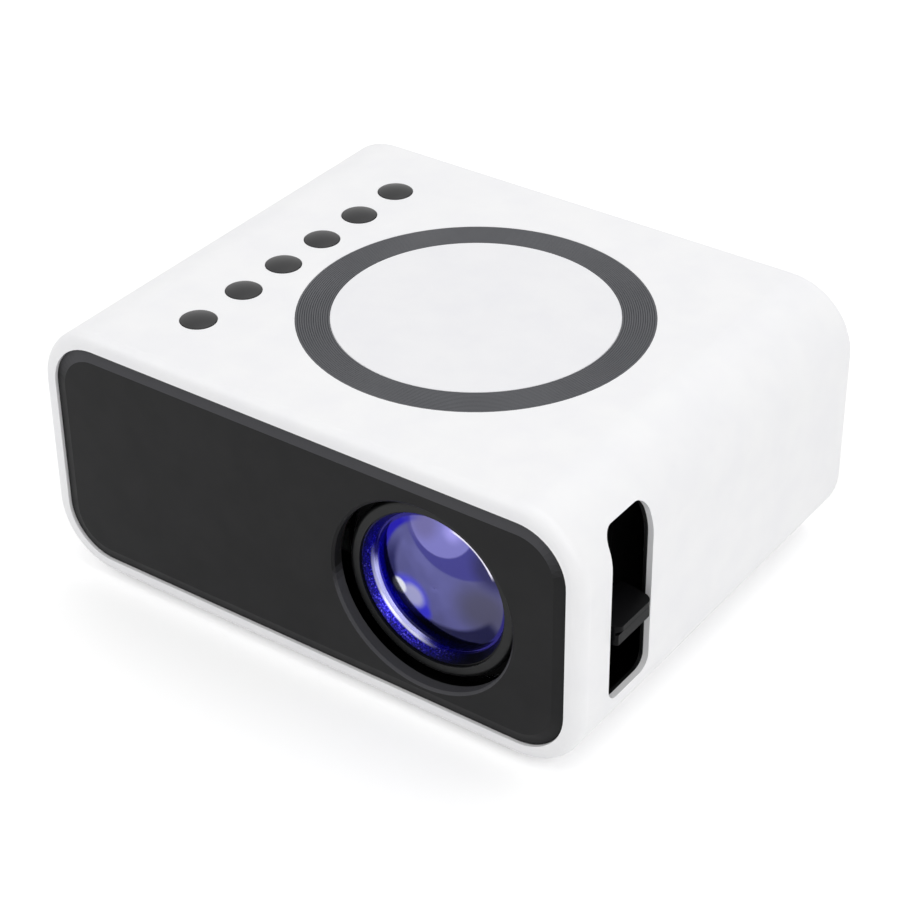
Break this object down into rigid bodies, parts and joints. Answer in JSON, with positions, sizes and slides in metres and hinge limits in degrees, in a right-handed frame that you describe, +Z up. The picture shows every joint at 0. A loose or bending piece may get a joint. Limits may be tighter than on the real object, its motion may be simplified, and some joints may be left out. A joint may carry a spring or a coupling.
{
  "type": "compact LED projector",
  "caption": "Rounded white box projector with a black lens panel, a grooved ring and buttons on top, and a side lever that focuses the lens.",
  "frame": {"origin": "on the table, under the middle of the casing", "axes": "+X the right side seen from the front, where the focus lever is; the lens looks along -Y; +Z up"},
  "size_m": [0.1294, 0.0996, 0.0591],
  "materials": {
    "white_abs": "fine satin",
    "black_abs": "fine satin",
    "ring_grey": "satin, turned grooves",
    "disc_white": "satin",
    "button_grey": "satin",
    "lever_black": "satin",
    "rubber_black": "matte",
    "screw_black": "black oxide",
    "steel": "bright",
    "brass": "machined",
    "lens_glass": "coated, clear",
    "clear_plastic": "clear",
    "lcd_dark": "polished",
    "mirror_front": "polished",
    "board_green": "solder mask",
    "board_white": "white solder mask on aluminium",
    "phosphor": "matte",
    "heatsink_alu": "extruded",
    "chip_black": "matte",
    "flex_film": "glossy film",
    "cone_paper": "matte"
  },
  "bodies": {
    "projector": {"housing": "white_abs", "bottom_cover": "white_abs", "front_panel": "black_abs", "rear_panel": "black_abs", "rear_posts": "brass", "front_screws": "screw_black", "rear_screws": "screw_black", "cover_screws": "screw_black", "engine_screws": "screw_black", "board_screws": "screw_black", "fan_screws": "steel", "tripod_insert": "brass", "feet": "rubber_black", "top_ring": "ring_grey", "top_disc": "disc_white", "key_switches": "chip_black", "key_board": "board_green", "lens_holder": "black_abs", "focus_clip": "steel", "engine_case": "black_abs", "engine_lid": "black_abs", "condenser_holder": "black_abs", "condenser_lens": "clear_plastic", "heat_glass": "clear_plastic", "rear_fresnel": "clear_plastic", "lcd_panel": "lcd_dark", "front_fresnel": "clear_plastic", "mirror": "mirror_front", "led_board": "board_white", "led_emitter": "phosphor", "heatsink": "heatsink_alu", "fan_frame": "black_abs", "speaker_frame": "steel", "speaker_cone": "cone_paper", "main_board": "board_green", "board_chips": "chip_black", "capacitors": "steel", "hdmi_socket": "steel", "usb_socket": "steel", "card_socket": "steel", "av_socket": "chip_black", "dc_socket": "chip_black", "panel_flex": "flex_film"},
    "focus_ring": {"focus_ring": "lever_black"},
    "lens_barrel": {"lens_barrel": "black_abs", "guide_pins": "steel", "lens_bezel": "black_abs", "front_lens": "lens_glass", "front_spacer": "black_abs", "middle_lens": "lens_glass", "rear_spacer": "black_abs", "rear_lens": "lens_glass"},
    "fan_rotor": {"fan_rotor": "black_abs", "fan_shaft": "steel"},
    "button_1": {"button_1": "button_grey"},
    "button_2": {"button_2": "button_grey"},
    "button_3": {"button_3": "button_grey"},
    "button_4": {"button_4": "button_grey"},
    "button_5": {"button_5": "button_grey"},
    "button_6": {"button_6": "button_grey"}
  },
  "joints": [
    {"name": "button_1_press", "type": "slide", "parent": "projector", "child": "button_1", "axis": [0, 0, -1], "range_m": [0, 0.0005], "stiffness_N_per_m": 2500},
    {"name": "button_2_press", "type": "slide", "parent": "projector", "child": "button_2", "axis": [0, 0, -1], "range_m": [0, 0.0005], "stiffness_N_per_m": 2500},
    {"name": "button_3_press", "type": "slide", "parent": "projector", "child": "button_3", "axis": [0, 0, -1], "range_m": [0, 0.0005], "stiffness_N_per_m": 2500},
    {"name": "button_4_press", "type": "slide", "parent": "projector", "child": "button_4", "axis": [0, 0, -1], "range_m": [0, 0.0005], "stiffness_N_per_m": 2500},
    {"name": "button_5_press", "type": "slide", "parent": "projector", "child": "button_5", "axis": [0, 0, -1], "range_m": [0, 0.0005], "stiffness_N_per_m": 2500},
    {"name": "button_6_press", "type": "slide", "parent": "projector", "child": "button_6", "axis": [0, 0, -1], "range_m": [0, 0.0005], "stiffness_N_per_m": 2500},
    {"name": "focus_turn", "type": "hinge", "parent": "projector", "child": "focus_ring", "pos_m": [0.0287, -0.03345, 0.0289], "axis": [0, -1, 0], "range_deg": [-18.05, 27.05]},
    {"name": "barrel_slide", "type": "slide", "parent": "projector", "child": "lens_barrel", "axis": [0, -1, 0], "range_m": [-0.0012, 0.0018]},
    {"name": "fan_spin", "type": "hinge", "parent": "projector", "child": "fan_rotor", "pos_m": [-0.034, 0.04, 0.026], "axis": [0, 1, 0], "continuous": true}
  ],
  "couplings": [
    {"joint": "focus_turn", "follows": "barrel_slide", "rad_per_m": 261.8}
  ]
}
